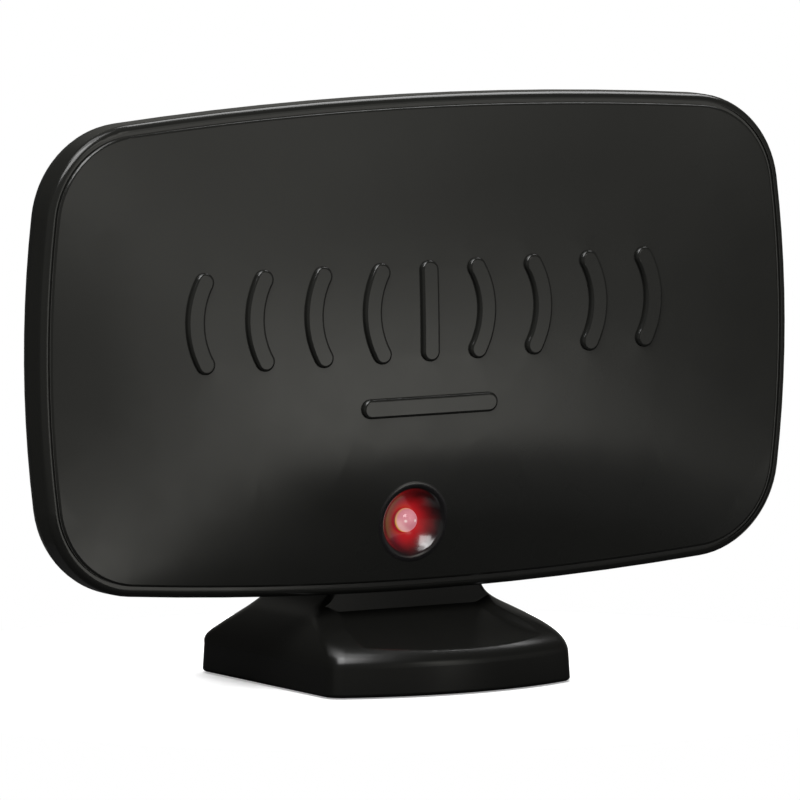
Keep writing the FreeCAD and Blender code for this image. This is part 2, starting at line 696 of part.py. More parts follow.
def balun():
    """A two-hole ferrite core and the wire through it."""
    z0 = PANEL_Z + BOARD_SCREW_HIGH - CORE_DOWN
    z1 = z0 + CORE_H
    y = BOARD_FRONT_Y - CORE_D / 2
    half = WIRE_T / 2
    holes = (-CORE_HOLE_X, CORE_HOLE_X)
    core = box(-CORE_W / 2, CORE_W / 2, BOARD_FRONT_Y - CORE_D, BOARD_FRONT_Y, z0, z1)
    core = core.makeFillet(CORE_ROUND, [e for e in core.Edges if e.BoundBox.ZLength > CORE_H / 2])
    core = cut(core, [rod_z(x, y, CORE_HOLE_R, z0 - BEYOND, z1 + BEYOND) for x in holes])
    legs = [box(x - half, x + half, y - half, y + half, z0 - WIRE_OUT, z1 + WIRE_OUT) for x in holes]
    bridge = box(-CORE_HOLE_X, CORE_HOLE_X, y - half, y + half, z1 + WIRE_OUT - WIRE_T, z1 + WIRE_OUT)
    drops = [box(x - half, x + half, y, BOARD_FRONT_Y, z0 - WIRE_OUT, z0 - WIRE_OUT + WIRE_T) for x in holes]
    return core, fuse(legs + [bridge] + drops)


# Coaxial socket

def socket_pieces():
    """Body, insulator, contact, washer and nut on one axis out of the back.

    The thread ends in a run-out groove just clear of the tightened nut.
    """
    z = PANEL_Z + SOCKET_UP
    end = BACK_Y + THREAD_L
    half = SOCKET_FLANGE / 2
    nut_y = BACK_Y + WASHER_T
    groove_y = nut_y + NUT_T
    flange = box(-half, half, BOARD_BACK_Y, INNER_Y, z - half, z + half)
    barrel = rod_y(0, z, THREAD_R, BOARD_BACK_Y, end)
    barrel = barrel.makeChamfer(THREAD_CHAMFER, edges_at(barrel, "Y", end))
    groove = rod_y(0, z, THREAD_R * 2, groove_y, groove_y + RUNOUT_W)
    groove = groove.cut(rod_y(0, z, THREAD_R - RUNOUT_DEPTH, groove_y, groove_y + RUNOUT_W))
    body = cut(fuse([flange, barrel]), [groove, rod_y(0, z, BORE_R, BOARD_BACK_Y, end)])

    face = end - MOUTH_RECESS
    contact = rod_y(0, z, CONTACT_R, BOARD_FRONT_Y - CONTACT_PROUD, face - ENTRY_T)
    contact = contact.cut(rod_y(0, z, CONTACT_BORE_R, BACK_Y, face))
    insulator = rod_y(0, z, BORE_R, BOARD_BACK_Y, face)
    insulator = cut(insulator, [rod_y(0, z, CONTACT_R, BOARD_BACK_Y, face - ENTRY_T),
                                rod_y(0, z, ENTRY_R, BOARD_BACK_Y, face)])

    washer = rod_y(0, z, WASHER_R, BACK_Y, nut_y)
    washer = washer.cut(rod_y(0, z, THREAD_R + SOCKET_PLAY, BACK_Y, nut_y))
    radius = NUT_AF / math.sqrt(3)
    turns = [math.radians(60 * k) for k in range(6)]
    nut = prism_xz([(radius * math.cos(a), z + radius * math.sin(a)) for a in turns], nut_y, groove_y)
    tip = radius - NUT_CHAMFER
    cone = Part.makeCone(tip + NUT_T, tip, NUT_T, V(0, nut_y, z), V(0, 1, 0))
    nut = nut.common(cone).cut(rod_y(0, z, THREAD_R + NUT_PLAY, nut_y, groove_y))
    return body, insulator, contact, washer, nut


# Pedestal

def foot_wire(z, front_w, back_w, front_y, back_y, bow, corner):
    """A four-sided outline with a bowed front and round corners, in one plane.

    The front is the arc that touches both front corner arcs, so the outline has no kink.
    """
    cf = V(front_w / 2 - corner, front_y + bow + corner, z)
    cb = V(back_w / 2 - corner, back_y - corner, z)
    d = cf.y - front_y
    big = (cf.x ** 2 + d ** 2 - corner ** 2) / (2 * (d - corner))
    hub = V(0, front_y + big, z)
    p1 = hub + (cf - hub).normalize() * big
    run = (cb - cf).normalize()
    out = V(run.y, -run.x, 0)
    p2 = cf + out * corner
    p3 = cb + out * corner
    p4 = cb + V(0, corner, 0)
    m1 = cf + ((p1 - cf) + (p2 - cf)).normalize() * corner
    m2 = cb + ((p3 - cb) + (p4 - cb)).normalize() * corner

    def flip(p):
        return V(-p.x, p.y, p.z)

    edges = [
        Part.Arc(flip(p1), V(0, front_y, z), p1).toShape(),
        Part.Arc(p1, m1, p2).toShape(),
        Part.makeLine(p2, p3),
        Part.Arc(p3, m2, p4).toShape(),
        Part.makeLine(p4, flip(p4)),
        Part.Arc(flip(p4), flip(m2), flip(p3)).toShape(),
        Part.makeLine(flip(p3), flip(p2)),
        Part.Arc(flip(p2), flip(m1), flip(p1)).toShape(),
    ]
    return Part.Wire(edges)


def flare(inset, drop):
    """The body from the neck down to the foot wall, or the room inside it, as one loft.

    The rows are shares of the way from neck to foot: down, ahead, sideways, behind and corner radius.
    """
    rows = (
        (0.00, 0.000, 0.000, 0.00, 0.00),
        (0.08, 0.005, 0.085, 0.06, 0.22),
        (0.16, 0.020, 0.180, 0.13, 0.45),
        (0.25, 0.080, 0.320, 0.21, 0.75),
        (0.33, 0.210, 0.460, 0.28, 1.00),
        (0.45, 0.485, 0.635, 0.42, 1.20),
        (0.61, 0.780, 0.815, 0.62, 1.15),
        (0.74, 0.915, 0.915, 0.81, 1.08),
        (0.87, 0.980, 0.973, 0.98, 1.00),
        (1.00, 1.000, 1.000, 1.00, 1.00),
    )
    top = PANEL_LIFT - drop
    foot = RIM_Z - drop
    neck = NECK_W - 2 * inset
    wide = FOOT_W - 2 * inset - 2 * FOOT_DRAFT
    run_ahead = NECK_FRONT + FOOT_D / 2 - FOOT_DRAFT
    run_behind = FOOT_D / 2 - FOOT_DRAFT - NECK_BACK
    rings = []
    for down, ahead, side, behind, turn in rows:
        width = neck + (wide - neck) * side
        rings.append(foot_wire(
            top + (foot - top) * down, width, width,
            NECK_FRONT + inset - run_ahead * ahead, NECK_BACK - inset + run_behind * behind,
            NECK_BOW + (FOOT_BOW - NECK_BOW) * ahead,
            NECK_CORNER + (FOOT_CORNER - NECK_CORNER) * turn - (INNER_CORNER if inset else 0.0),
        ))
    return Part.makeLoft(rings, True, False)


def scoop(shift):
    """The hollow in front of the neck as a block: a ramp that widens forwards, with gently rising sides."""
    stations = (
        (NECK_FRONT, SCOOP_NECK),
        (NECK_FRONT - SCOOP_DEEP, SCOOP_MIDDLE),
        (-FOOT_D / 2 - AHEAD, SCOOP_FRONT),
    )
    sections = []
    for y, (half, z) in stations:
        wide = half + SCOOP_SPREAD
        corners = [(-half, z), (half, z), (wide, z + SCOOP_RISE), (-wide, z + SCOOP_RISE)]
        points = [V(x, y + shift, h - shift) for x, h in corners]
        sections.append(Part.makePolygon(points + points[:1]))
    block = Part.makeLoft(sections, True, False)
    valleys = [e for e in block.Edges if e.BoundBox.YLength > SCOOP_DEEP]
    valleys = [e for e in valleys if e.BoundBox.ZMax < SCOOP_NECK[1] + BEYOND - shift]
    return block.makeFillet(SCOOP_ROUND, valleys)


def foot_ring(inset, z):
    """The foot outline at one height, with its draft."""
    lean = FOOT_DRAFT * (z - FOOT_GAP) / (RIM_Z - FOOT_GAP)
    side = inset + lean
    return foot_wire(z, FOOT_W - 2 * side, FOOT_W - 2 * side, -FOOT_D / 2 + side, FOOT_D / 2 - side,
                     FOOT_BOW, FOOT_CORNER - (INNER_CORNER if inset else 0.0))


def pedestal():
    """Foot wall and scooped body in one shell, with the spigot pocket and four screw posts inside."""
    wall = Part.makeLoft([foot_ring(0, FOOT_GAP), foot_ring(0, RIM_Z)], True, True)
    wall = wall.makeFillet(BASE_ROUND, edges_at(wall, "Z", FOOT_GAP))
    outer = fuse([wall, flare(0, 0)]).cut(scoop(0))
    brim = [e for e in outer.Edges if e.BoundBox.YMax < NECK_FRONT - SCOOP_DEEP]
    brim = [e for e in brim if e.BoundBox.ZMin > RIM_Z + BEYOND]
    outer = outer.makeFillet(RIM_ROUND, brim)
    low = Part.makeLoft([foot_ring(SHELL, FOOT_GAP), foot_ring(SHELL, RIM_Z - SHELL)], True, True)
    shell = cut(outer, [low, flare(SHELL, SHELL).cut(scoop(SHELL))])
    w = SPIGOT_W / 2 + POCKET_PLAY
    d = SPIGOT_D / 2 + POCKET_PLAY
    z0 = STAND_SEAT_Z
    pocket = box(-w - POCKET_WALL, w + POCKET_WALL, POCKET_Y - d - POCKET_WALL, POCKET_Y + d + POCKET_WALL,
                 z0, PANEL_LIFT)
    posts = [rod_z(x, y, BOSS_R, BOTTOM_TOP, PANEL_LIFT).common(outer) for x, y in both(BOTTOM_SCREW_SPOTS)]
    body = fuse([shell, pocket] + posts)
    tools = [box(-w, w, POCKET_Y - d, POCKET_Y + d, PANEL_LIFT - SPIGOT_H, PANEL_LIFT + BEYOND)]
    for x in (STAND_SCREW_X, -STAND_SCREW_X):
        tools.append(rod_z(x, POCKET_Y, TAP_R + HOLE_PLAY, z0 - BEYOND, PANEL_LIFT))
    for x, y in both(BOTTOM_SCREW_SPOTS):
        tools.append(rod_z(x, y, TAP_R + TAP_PLAY, BOTTOM_TOP - BEYOND, BOTTOM_TOP + BOTTOM_SCREW_L))
    return cut(body, tools)


def bottom_plate():
    """The cover under the foot, with countersunk seats and dimples for the pads."""
    inset = SHELL + BOTTOM_PLAY
    plate = Part.Face(foot_ring(inset, FOOT_GAP)).extrude(V(0, 0, BOTTOM_T))
    tools = []
    for x, y in both(BOTTOM_SCREW_SPOTS):
        hole = TAP_R + HOLE_PLAY
        tools.append(rod_z(x, y, hole, 0, BOTTOM_TOP + BEYOND))
        tools.append(Part.makeCone(HEAD_R + HOLE_PLAY, hole, SINK_H, V(x, y, FOOT_GAP), V(0, 0, 1)))
    for x, y in both(PAD_SPOTS):
        tools.append(rod_z(x, y, PAD_FOOT_R, 0, FOOT_GAP + PAD_FOOT_SINK))
    return cut(plate, tools)


def bottom_screws():
    """Flat-head screws of the bottom plate."""
    screws = []
    for x, y in both(BOTTOM_SCREW_SPOTS):
        head = Part.makeCone(HEAD_R, TAP_R, SINK_H, V(x, y, FOOT_GAP), V(0, 0, 1))
        shank = rod_z(x, y, TAP_R, FOOT_GAP + SINK_H / 2, BOTTOM_TOP + BOTTOM_SCREW_L - BOTTOM_TIP)
        slot = box(x - SLOT_L / 2, x + SLOT_L / 2, y - SLOT_W / 2, y + SLOT_W / 2, 0, FOOT_GAP + SLOT_DEEP)
        screws.append(fuse([head, shank]).cut(slot))
    return Part.makeCompound(screws)


def ballast():
    """A steel plate that lies on the bottom plate."""
    y0 = BALLAST_BACK - BALLAST_D / 2
    plate = box(-BALLAST_W / 2, BALLAST_W / 2, y0, y0 + BALLAST_D, BOTTOM_TOP, BOTTOM_TOP + BALLAST_T)
    corners = [e for e in plate.Edges if abs(e.BoundBox.ZLength - BALLAST_T) < 1e-3]
    return plate.makeFillet(BALLAST_ROUND, corners)


def feet():
    """Four soft pads, let into the bottom plate."""
    pads = []
    for x, y in both(PAD_SPOTS):
        pad = rod_z(x, y, PAD_FOOT_R, 0, FOOT_GAP + PAD_FOOT_SINK)
        pads.append(pad.makeFillet(PAD_FOOT_ROUND, edges_at(pad, "Z", 0)))
    return Part.makeCompound(pads)


def build():
    """Every node of the antenna by name."""
    leads = lamp_leads()
    core, winding = balun()
    body, insulator, contact, washer, nut = socket_pieces()
    back = V(0, -1, 0)
    up = V(0, 0, 1)
    inward = V(0, 1, 0)
    cover = [screw(V(x, PART_Y + COVER_SEAT, PANEL_Z + z), back, COVER_SCREW_L) for x, z in both(COVER_SPOTS)]
    low = both([(BOARD_SCREW_X, BOARD_SCREW_LOW)])
    high = both([(BOARD_SCREW_X, BOARD_SCREW_HIGH)])
    outer = both([PLATE_SCREW])
    stand = [(STAND_SCREW_X, POCKET_Y), (-STAND_SCREW_X, POCKET_Y)]
    return {
        "front_cover": front_cover(),
        "lamp_dish": lamp_dish(),
        "lamp_lens": lamp_lens(leads),
        "lamp_leads": leads,
        "rear_cover": rear_cover(),
        "heel_bracket": heel_bracket(),
        "cover_screws": Part.makeCompound(cover),
        "bracket_screws": Part.makeCompound(
            [screw(V(x, INNER_Y, PANEL_Z + z), inward, HEEL_SCREW_L) for x, z in heel_spots()]),
        "radiator_left": radiator(-1),
        "radiator_right": radiator(1),
        "radiator_screws": Part.makeCompound(
            [screw(V(x, PLATE_FRONT_Y, PANEL_Z + z), inward, BOARD_SCREW_L) for x, z in outer]),
        "feed_screws": Part.makeCompound(
            [screw(V(x, PLATE_FRONT_Y, PANEL_Z + z), inward, BOARD_SCREW_L) for x, z in high]),
        "board_screws": Part.makeCompound(
            [screw(V(x, BOARD_FRONT_Y, PANEL_Z + z), inward, BOARD_SCREW_L) for x, z in low]),
        "amplifier_board": amplifier_board(),
        "shield_can": shield_can(),
        "amplifier_chips": amplifier_chips(),
        "chip_parts": chip_parts(),
        "balun_core": core,
        "balun_winding": winding,
        "socket_body": body,
        "socket_insulator": insulator,
        "socket_contact": contact,
        "socket_washer": washer,
        "socket_nut": nut,
        "pedestal": pedestal(),
        "stand_screws": Part.makeCompound(
            [screw(V(x, y, STAND_SEAT_Z), up, STAND_SCREW_L) for x, y in stand]),
        "ballast": ballast(),
        "bottom_plate": bottom_plate(),
        "bottom_screws": bottom_screws(),
        "feet": feet(),
    }


for name, shape in build().items():
    shape.exportStep("parts/" + name + ".step")
    print(name, shape.isValid(), len(shape.Solids), round(shape.Volume, 1))
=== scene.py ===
"""Looks of an indoor television antenna: its finishes, its small modelled pieces, the studio and the camera.

Metres, +Z up, the face looks along -Y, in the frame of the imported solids.
"""
import logging
import math
from dataclasses import dataclass, field
from enum import Enum
from typing import Any, Optional, Union

import bpy
from mathutils import Matrix, Vector


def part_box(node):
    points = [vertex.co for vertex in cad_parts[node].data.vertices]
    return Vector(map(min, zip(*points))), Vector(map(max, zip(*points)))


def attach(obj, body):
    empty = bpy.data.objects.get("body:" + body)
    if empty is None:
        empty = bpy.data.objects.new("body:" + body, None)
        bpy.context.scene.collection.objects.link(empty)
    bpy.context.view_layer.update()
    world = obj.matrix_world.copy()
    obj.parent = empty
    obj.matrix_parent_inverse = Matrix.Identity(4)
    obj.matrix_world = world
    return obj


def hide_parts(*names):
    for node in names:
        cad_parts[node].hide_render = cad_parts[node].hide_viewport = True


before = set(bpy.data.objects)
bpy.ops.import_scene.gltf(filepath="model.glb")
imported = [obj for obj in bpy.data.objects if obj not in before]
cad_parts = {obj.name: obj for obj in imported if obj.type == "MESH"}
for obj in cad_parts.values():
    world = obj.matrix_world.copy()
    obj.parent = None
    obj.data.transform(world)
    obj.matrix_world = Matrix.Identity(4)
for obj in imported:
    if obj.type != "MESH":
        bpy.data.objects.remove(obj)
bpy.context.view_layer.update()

LOG = logging.getLogger("antenna")
MM = 0.001
BODY = "root"
Pair = tuple[float, float]
Step = Pair
Triple = tuple[float, float, float]
Colour = Triple
BLACK: Colour = (0.0, 0.0, 0.0)
WHITE: Colour = (1.0, 1.0, 1.0)
EVEN: Triple = (1.0, 1.0, 1.0)
FACE_PLANE: Triple = (1.0, 0.0, 1.0)


# Shader maths

class Sock:
    """A shader socket that takes part in Python sums."""

    def __init__(self, board: "NodeBoard", socket: bpy.types.NodeSocket) -> None:
        """Keeps the socket and the board that it belongs to."""
        self.board = board
        self.socket = socket

    def __add__(self, other: "Value") -> "Sock":
        """This plus other."""
        return self.board.sum("ADD", self, other)

    def __radd__(self, other: "Value") -> "Sock":
        """Other plus this."""
        return self.board.sum("ADD", other, self)

    def __sub__(self, other: "Value") -> "Sock":
        """This less other."""
        return self.board.sum("SUBTRACT", self, other)

    def __rsub__(self, other: "Value") -> "Sock":
        """Other less this."""
        return self.board.sum("SUBTRACT", other, self)

    def __mul__(self, other: "Value") -> "Sock":
        """This times other."""
        return self.board.sum("MULTIPLY", self, other)

    def __rmul__(self, other: "Value") -> "Sock":
        """Other times this."""
        return self.board.sum("MULTIPLY", other, self)

    def __truediv__(self, other: "Value") -> "Sock":
        """This divided by other."""
        return self.board.sum("DIVIDE", self, other)

    def __pow__(self, other: "Value") -> "Sock":
        """This to a power."""
        return self.board.sum("POWER", self, other)


Value = Union[float, Sock]


def rgba(colour: Any) -> Any:
    """A colour with its alpha, or a link as it is."""
    return colour if isinstance(colour, Sock) else (*colour, 1.0)


def shaded(colour: Colour, share: float) -> Colour:
    """A colour made darker or lighter by a share."""
    return tuple(part * share for part in colour)


class NodeBoard:
    """One node tree under construction."""

    def __init__(self, tree: bpy.types.NodeTree) -> None:
        """Empties the tree and keeps it."""
        tree.nodes.clear()
        self.tree = tree

    def node(self, kind: str, settings: Optional[dict[str, Any]] = None,
             inputs: Optional[dict[Union[str, int], Any]] = None, output: Union[str, int] = 0) -> Sock:
        """Adds one node.

        Args:
            kind: The node's type name.
            settings: Properties of the node, set before its sockets.
            inputs: Values or links by socket name or number.
            output: The output socket to hand back.

        Returns:
            The chosen output socket.
        """
        made = self.tree.nodes.new(kind)
        for key, value in (settings or {}).items():
            setattr(made, key, value)
        for key, value in (inputs or {}).items():
            target = made.inputs[key]
            if isinstance(value, Sock):
                self.tree.links.new(value.socket, target)
            else:
                target.default_value = value
        return Sock(self, made.outputs[output])

    def sum(self, operation: str, first: Value, second: Value) -> Sock:
        """One Math node on two values."""
        return self.node("ShaderNodeMath", {"operation": operation}, {0: first, 1: second})

    def smooth(self, value: Value, low: float, high: float) -> Sock:
        """A soft step that rises from 0 at low to 1 at high."""
        return self.node("ShaderNodeMapRange", {"interpolation_type": "SMOOTHSTEP"},
                         {"Value": value, "From Min": low, "From Max": high})

    def mix(self, share: Value, first: Any, second: Any) -> Sock:
        """A colour between two colours."""
        ends = {0: share, 6: rgba(first), 7: rgba(second)}
        return self.node("ShaderNodeMix", {"data_type": "RGBA"}, ends, 2)

    def place(self, centre: Vector = Vector(), stretch: Triple = EVEN) -> Sock:
        """Object coordinates, centred on a point and stretched.

        Args:
            centre: The point that becomes zero.
            stretch: A factor for each axis.

        Returns:
            The vector.
        """
        spot = self.node("ShaderNodeTexCoord", output="Object")
        moved = self.node("ShaderNodeVectorMath", {"operation": "SUBTRACT"}, {0: spot, 1: centre})
        return self.node("ShaderNodeVectorMath", {"operation": "MULTIPLY"}, {0: moved, 1: stretch})

    def noise(self, where: Sock, size: float, detail: float = 2.0) -> Sock:
        """Cloudy noise with features of a size in metres."""
        return self.node("ShaderNodeTexNoise", {}, {"Vector": where, "Scale": 1 / size, "Detail": detail})

    def parts(self, vector: Sock) -> tuple[Sock, Sock, Sock]:
        """Takes a vector apart.

        Args:
            vector: The vector.

        Returns:
            Its three numbers.
        """
        first = self.node("ShaderNodeSeparateXYZ", {}, {0: vector})
        outputs = first.socket.node.outputs
        return first, Sock(self, outputs[1]), Sock(self, outputs[2])

    def length(self, vector: Sock) -> Sock:
        """The length of a vector."""
        return self.node("ShaderNodeVectorMath", {"operation": "LENGTH"}, {0: vector}, "Value")

    def off_axis(self, centre: Vector) -> Sock:
        """How far a place is from a point, seen straight from the front."""
        return self.length(self.place(centre, FACE_PLANE))

    def bump(self, height: Sock, depth: float, strength: float) -> Sock:
        """A normal from a height."""
        return self.node("ShaderNodeBump", {}, {"Height": height, "Distance": depth, "Strength": strength})

    def diffuse(self, colour: Colour) -> Sock:
        """A plain matt shader."""
        return self.node("ShaderNodeBsdfDiffuse", {}, {"Color": rgba(colour)})

    def surface(self, inputs: dict[str, Any]) -> None:
        """Ends the board in a principled surface with these sockets."""
        self.close(self.node("ShaderNodeBsdfPrincipled", {}, inputs))

    def close(self, shader: Sock, kind: str = "ShaderNodeOutputMaterial") -> None:
        """Links a shader to a new output node."""
        out = self.tree.nodes.new(kind)
        self.tree.links.new(shader.socket, out.inputs["Surface"])


# Finishes

class Finish:
    """A finish that makes its own material once."""

    name: str

    def material(self) -> bpy.types.Material:
        """Finds the finish's material, or makes it on first use.

        Returns:
            The material.
        """
        title = "finish_" + self.name
        found = bpy.data.materials.get(title)
        if found is None:
            found = bpy.data.materials.new(title)
            found.use_nodes = True
            self.paint(NodeBoard(found.node_tree))
        return found

    def paint(self, board: NodeBoard) -> None:
        """Fills the material's nodes."""
        raise NotImplementedError


@dataclass(frozen=True)
class MouldedPlastic(Finish):
    """Plastic dyed through, with flow clouds in its colour and the grain of its mould."""

    name: str
    dye: Colour
    roughness: float
    grain: float = 0.35 * MM
    grain_depth: float = 0.004 * MM
    grain_strength: float = 0.5
    cloud: float = 0.10
    cloud_size: float = 28 * MM
    haze: float = 0.05
    haze_size: float = 9 * MM

    def paint(self, board: NodeBoard) -> None:
        """Clouded dye, hazy gloss and a fine grain.

        Args:
            board: The material's nodes.
        """
        where = board.place()
        clouds = board.noise(where, self.cloud_size, 4.0)
        fine = board.noise(where, self.grain, 3.0)
        veil = board.noise(where, self.haze_size, 3.0)
        dark = shaded(self.dye, 1 - self.cloud)
        light = shaded(self.dye, 1 + self.cloud)
        board.surface({
            "Base Color": board.mix(clouds, dark, light),
            "Roughness": self.roughness + self.haze * (veil - 0.5),
            "Normal": board.bump(fine, self.grain_depth, self.grain_strength),
        })


@dataclass(frozen=True)
class BareMetal(Finish):
    """Plated or raw metal with streaks along the way it was worked."""

    name: str
    colour: Colour
    roughness: float
    streak: Triple = EVEN
    streak_size: float = 1.2 * MM
    streak_depth: float = 0.01 * MM
    streak_strength: float = 0.25
    spot_size: float = 2.5 * MM
    dull: float = 0.25
    uneven: float = 0.14

    def paint(self, board: NodeBoard) -> None:
        """Streaks in tone and gloss, and small dull spots.

        Args:
            board: The material's nodes.
        """
        streaks = board.noise(board.place(stretch=self.streak), self.streak_size, 4.0)
        spots = board.noise(board.place(), self.spot_size, 3.0)
        tone = streaks * 0.5 + spots * 0.5
        board.surface({
            "Base Color": board.mix(tone, shaded(self.colour, 1 - self.dull), self.colour),
            "Metallic": 1.0,
            "Roughness": self.roughness + self.uneven * (tone - 0.5),
            "Normal": board.bump(streaks, self.streak_depth, self.streak_strength),
        })


@dataclass(frozen=True)
class PaintedGlowDish(Finish):
    """Polished black bowl with the red light of the lamp painted into its middle as glow."""

    name: str
    centre: Vector
    inner: float
    outer: float
    sag: float
    dye: Colour = (0.010, 0.009, 0.010)
    # glow and the violet after it are painted light: the lamp's red glow and a violet reflection on a bowl
    # that is no lamp.
    glow: Colour = (0.40, 0.006, 0.010)
    painted_violet_reflection: Colour = (0.10, 0.004, 0.022)
    painted_violet_reflection_side: Step = (-0.75, 0.05)
    falloff: float = 1.5
    ragged: float = 0.3
    cloud: float = 0.15
    cloud_size: float = 4 * MM
    roughness: float = 0.20
    haze: float = 0.06
    index: float = 1.6
    coat: float = 0.6
    coat_roughness: float = 0.10

    def paint(self, board: NodeBoard) -> None:
        """A painted red glow of the lamp that hangs below the lens, turns to a painted violet reflection on
        the left and is gone before the lip.

        Args:
            board: The material's nodes.
        """
        low = self.centre - Vector((0.0, 0.0, self.sag))
        clouds = board.noise(board.place(), self.cloud_size, 2.0)
        reach = (board.off_axis(low) - self.inner) / (self.outer - self.inner)
        painted_bloom = (1 - board.smooth(reach + self.ragged * (clouds - 0.5), 0.0, 1.0)) ** self.falloff
        across, _, _ = board.parts(board.place(self.centre))
        tint = board.mix(board.smooth(across / self.outer, *self.painted_violet_reflection_side), self.painted_violet_reflection, self.glow)
        board.surface({
            "Base Color": board.mix(clouds, shaded(self.dye, 1 - self.cloud), self.dye),
            "Roughness": self.roughness + self.haze * clouds,
            "IOR": self.index,
            "Coat Weight": self.coat,
            "Coat Roughness": self.coat_roughness,
            # Emission paints the lamp's red glow and the violet reflection onto the bowl, which is no lamp.
            "Emission Color": board.mix(painted_bloom, BLACK, tint),
            "Emission Strength": 1.0,
        })


@dataclass(frozen=True)
class LitLens(Finish):
    """Milky lens of the indicator, lit from inside, with a yellow edge, a painted pale crescent and painted
    glints.
    """

    name: str
    centre: Vector
    tip: float
    radius: float
    lead_pitch: float
    rose: Colour = (0.62, 0.22, 0.27)
    # pale is the painted highlight of the crescent to the lower left.
    painted_pale: Colour = (0.85, 0.46, 0.46)
    painted_pale_corner: Step = (-1.25, -0.35)
    painted_pale_ring: Step = (0.35, 0.8)
    yellow: Colour = (0.66, 0.42, 0.06)
    yellow_depth: Step = (0.62, 0.86)
    yellow_least: float = 0.6
    root: Colour = (0.10, 0.02, 0.01)
    root_depth: Step = (0.86, 1.02)
    # Colour and size of the painted glints on the lead heads.
    painted_glint: Colour = (0.95, 0.75, 0.72)
    painted_glint_size: Step = (0.1 * MM, 0.5 * MM)
    dye_dark: Colour = (0.30, 0.14, 0.15)
    dye_light: Colour = (0.40, 0.2, 0.2)
    mottle_size: float = 0.8 * MM
    roughness: float = 0.10
    haze: float = 0.06
    strength: float = 0.7

    def paint(self, board: NodeBoard) -> None:
        """Rose, with a painted pale crescent to the lower left, painted glints on both lead heads and a
        yellow edge by depth, strongest on the painted pale side.

        Args:
            board: The material's nodes.
        """
        where = board.place(self.centre)
        x, y, z = board.parts(where)
        sunk = (y + (self.centre.y - self.tip)) / self.radius
        flat = board.off_axis(self.centre) / self.radius
        # Painted pale crescent, strongest to the lower left; the yellow edge is also stronger there.
        painted_pale_side = 1 - board.smooth((x + z) / self.radius, *self.painted_pale_corner)
        glow = board.mix(painted_pale_side * board.smooth(flat, *self.painted_pale_ring), self.rose, self.painted_pale)
        share = self.yellow_least + (1 - self.yellow_least) * painted_pale_side
        glow = board.mix(board.smooth(sunk, *self.yellow_depth) * share, glow, self.yellow)
        glow = board.mix(board.smooth(sunk, *self.root_depth), glow, self.root)
        # Painted glints on both lead heads.
        for side in (-0.5, 0.5):
            lead = self.centre + Vector((side * self.lead_pitch, 0.0, 0.0))
            spot = 1 - board.smooth(board.off_axis(lead), *self.painted_glint_size)
            glow = board.mix(spot, glow, self.painted_glint)
        mottle = board.noise(where, self.mottle_size, 2.0)
        board.surface({
            "Base Color": board.mix(mottle, self.dye_dark, self.dye_light),
            "Roughness": self.roughness + self.haze * mottle,
            "Emission Color": glow,
            "Emission Strength": self.strength,
        })


@dataclass(frozen=True)
class BoardLacquer(Finish):
    """Green lacquer over copper tracks."""

    name: str
    dark: Colour = (0.012, 0.10, 0.035)
    light: Colour = (0.016, 0.13, 0.05)
    over_copper: Colour = (0.05, 0.24, 0.09)
    cloud_size: float = 6 * MM
    track_scale: float = 90.0
    track_wander: float = 3.0
    track_edge: Step = (0.62, 0.72)
    track_height: float = 0.03 * MM
    track_strength: float = 0.6
    roughness: float = 0.32
    haze: float = 0.1

    def paint(self, board: NodeBoard) -> None:
        """Lighter stripes where the copper runs under the lacquer.

        Args:
            board: The material's nodes.
        """
        where = board.place()
        wave = {"Vector": where, "Scale": self.track_scale, "Distortion": self.track_wander, "Detail": 1.0}
        bands = board.node("ShaderNodeTexWave", {"bands_direction": "X"}, wave, "Fac")
        track = board.smooth(bands, *self.track_edge)
        clouds = board.noise(where, self.cloud_size)
        board.surface({
            "Base Color": board.mix(track, board.mix(clouds, self.dark, self.light), self.over_copper),
            "Roughness": self.roughness + self.haze * clouds,
            "Normal": board.bump(track, self.track_height, self.track_strength),
        })


ALONG_X: Triple = (0.1, 1.0, 1.0)
NICKEL = BareMetal("nickel_plate", (0.72, 0.70, 0.66), 0.22)
ZINC = BareMetal("zinc_plate", (0.62, 0.63, 0.66), 0.32)
TIN = BareMetal("tin_plate", (0.70, 0.70, 0.68), 0.30, (0.2, 1.0, 1.0))
ALUMINIUM = BareMetal("sheet_aluminium", (0.78, 0.79, 0.80), 0.35, ALONG_X)


# Pieces

class Part:
    """A sub-assembly: it may model pieces of its own, and it dresses its nodes."""

    finishes: dict[str, Finish]

    def build(self) -> list[bpy.types.Object]:
        """Models new pieces. Most sub-assemblies need none."""
        return []

    def dress(self) -> None:
        """Gives each node its finish."""
        for node, finish in self.finishes.items():
            paint(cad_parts[node], finish)


def deselect() -> None:
    """Leaves nothing selected."""
    bpy.ops.object.select_all(action="DESELECT")


def edit(piece: bpy.types.Object) -> None:
    """Makes one object the only selected one and enters its edit mode.

    Args:
        piece: The object.
    """
    deselect()
    piece.select_set(True)
    bpy.context.view_layer.objects.active = piece
    bpy.ops.object.mode_set(mode="EDIT")


def leave_edit() -> None:
    """Goes back to object mode."""
    bpy.ops.object.mode_set(mode="OBJECT")


def select_mesh() -> None:
    """Selects the whole mesh in edit mode."""
    bpy.ops.mesh.select_all(action="SELECT")


def smooth_faces(degrees: float) -> None:
    """Shades the active object smooth, with sharp edges beyond an angle."""
    bpy.ops.object.shade_smooth_by_angle(angle=math.radians(degrees))


def paint(piece: bpy.types.Object, finish: Finish) -> None:
    """Puts one finish on a whole object.

    Args:
        piece: The object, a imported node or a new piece.
        finish: What it is made of.
    """
    if piece.material_slots:
        for slot in piece.material_slots:
            slot.material = finish.material()
    else:
        piece.data.materials.append(finish.material())


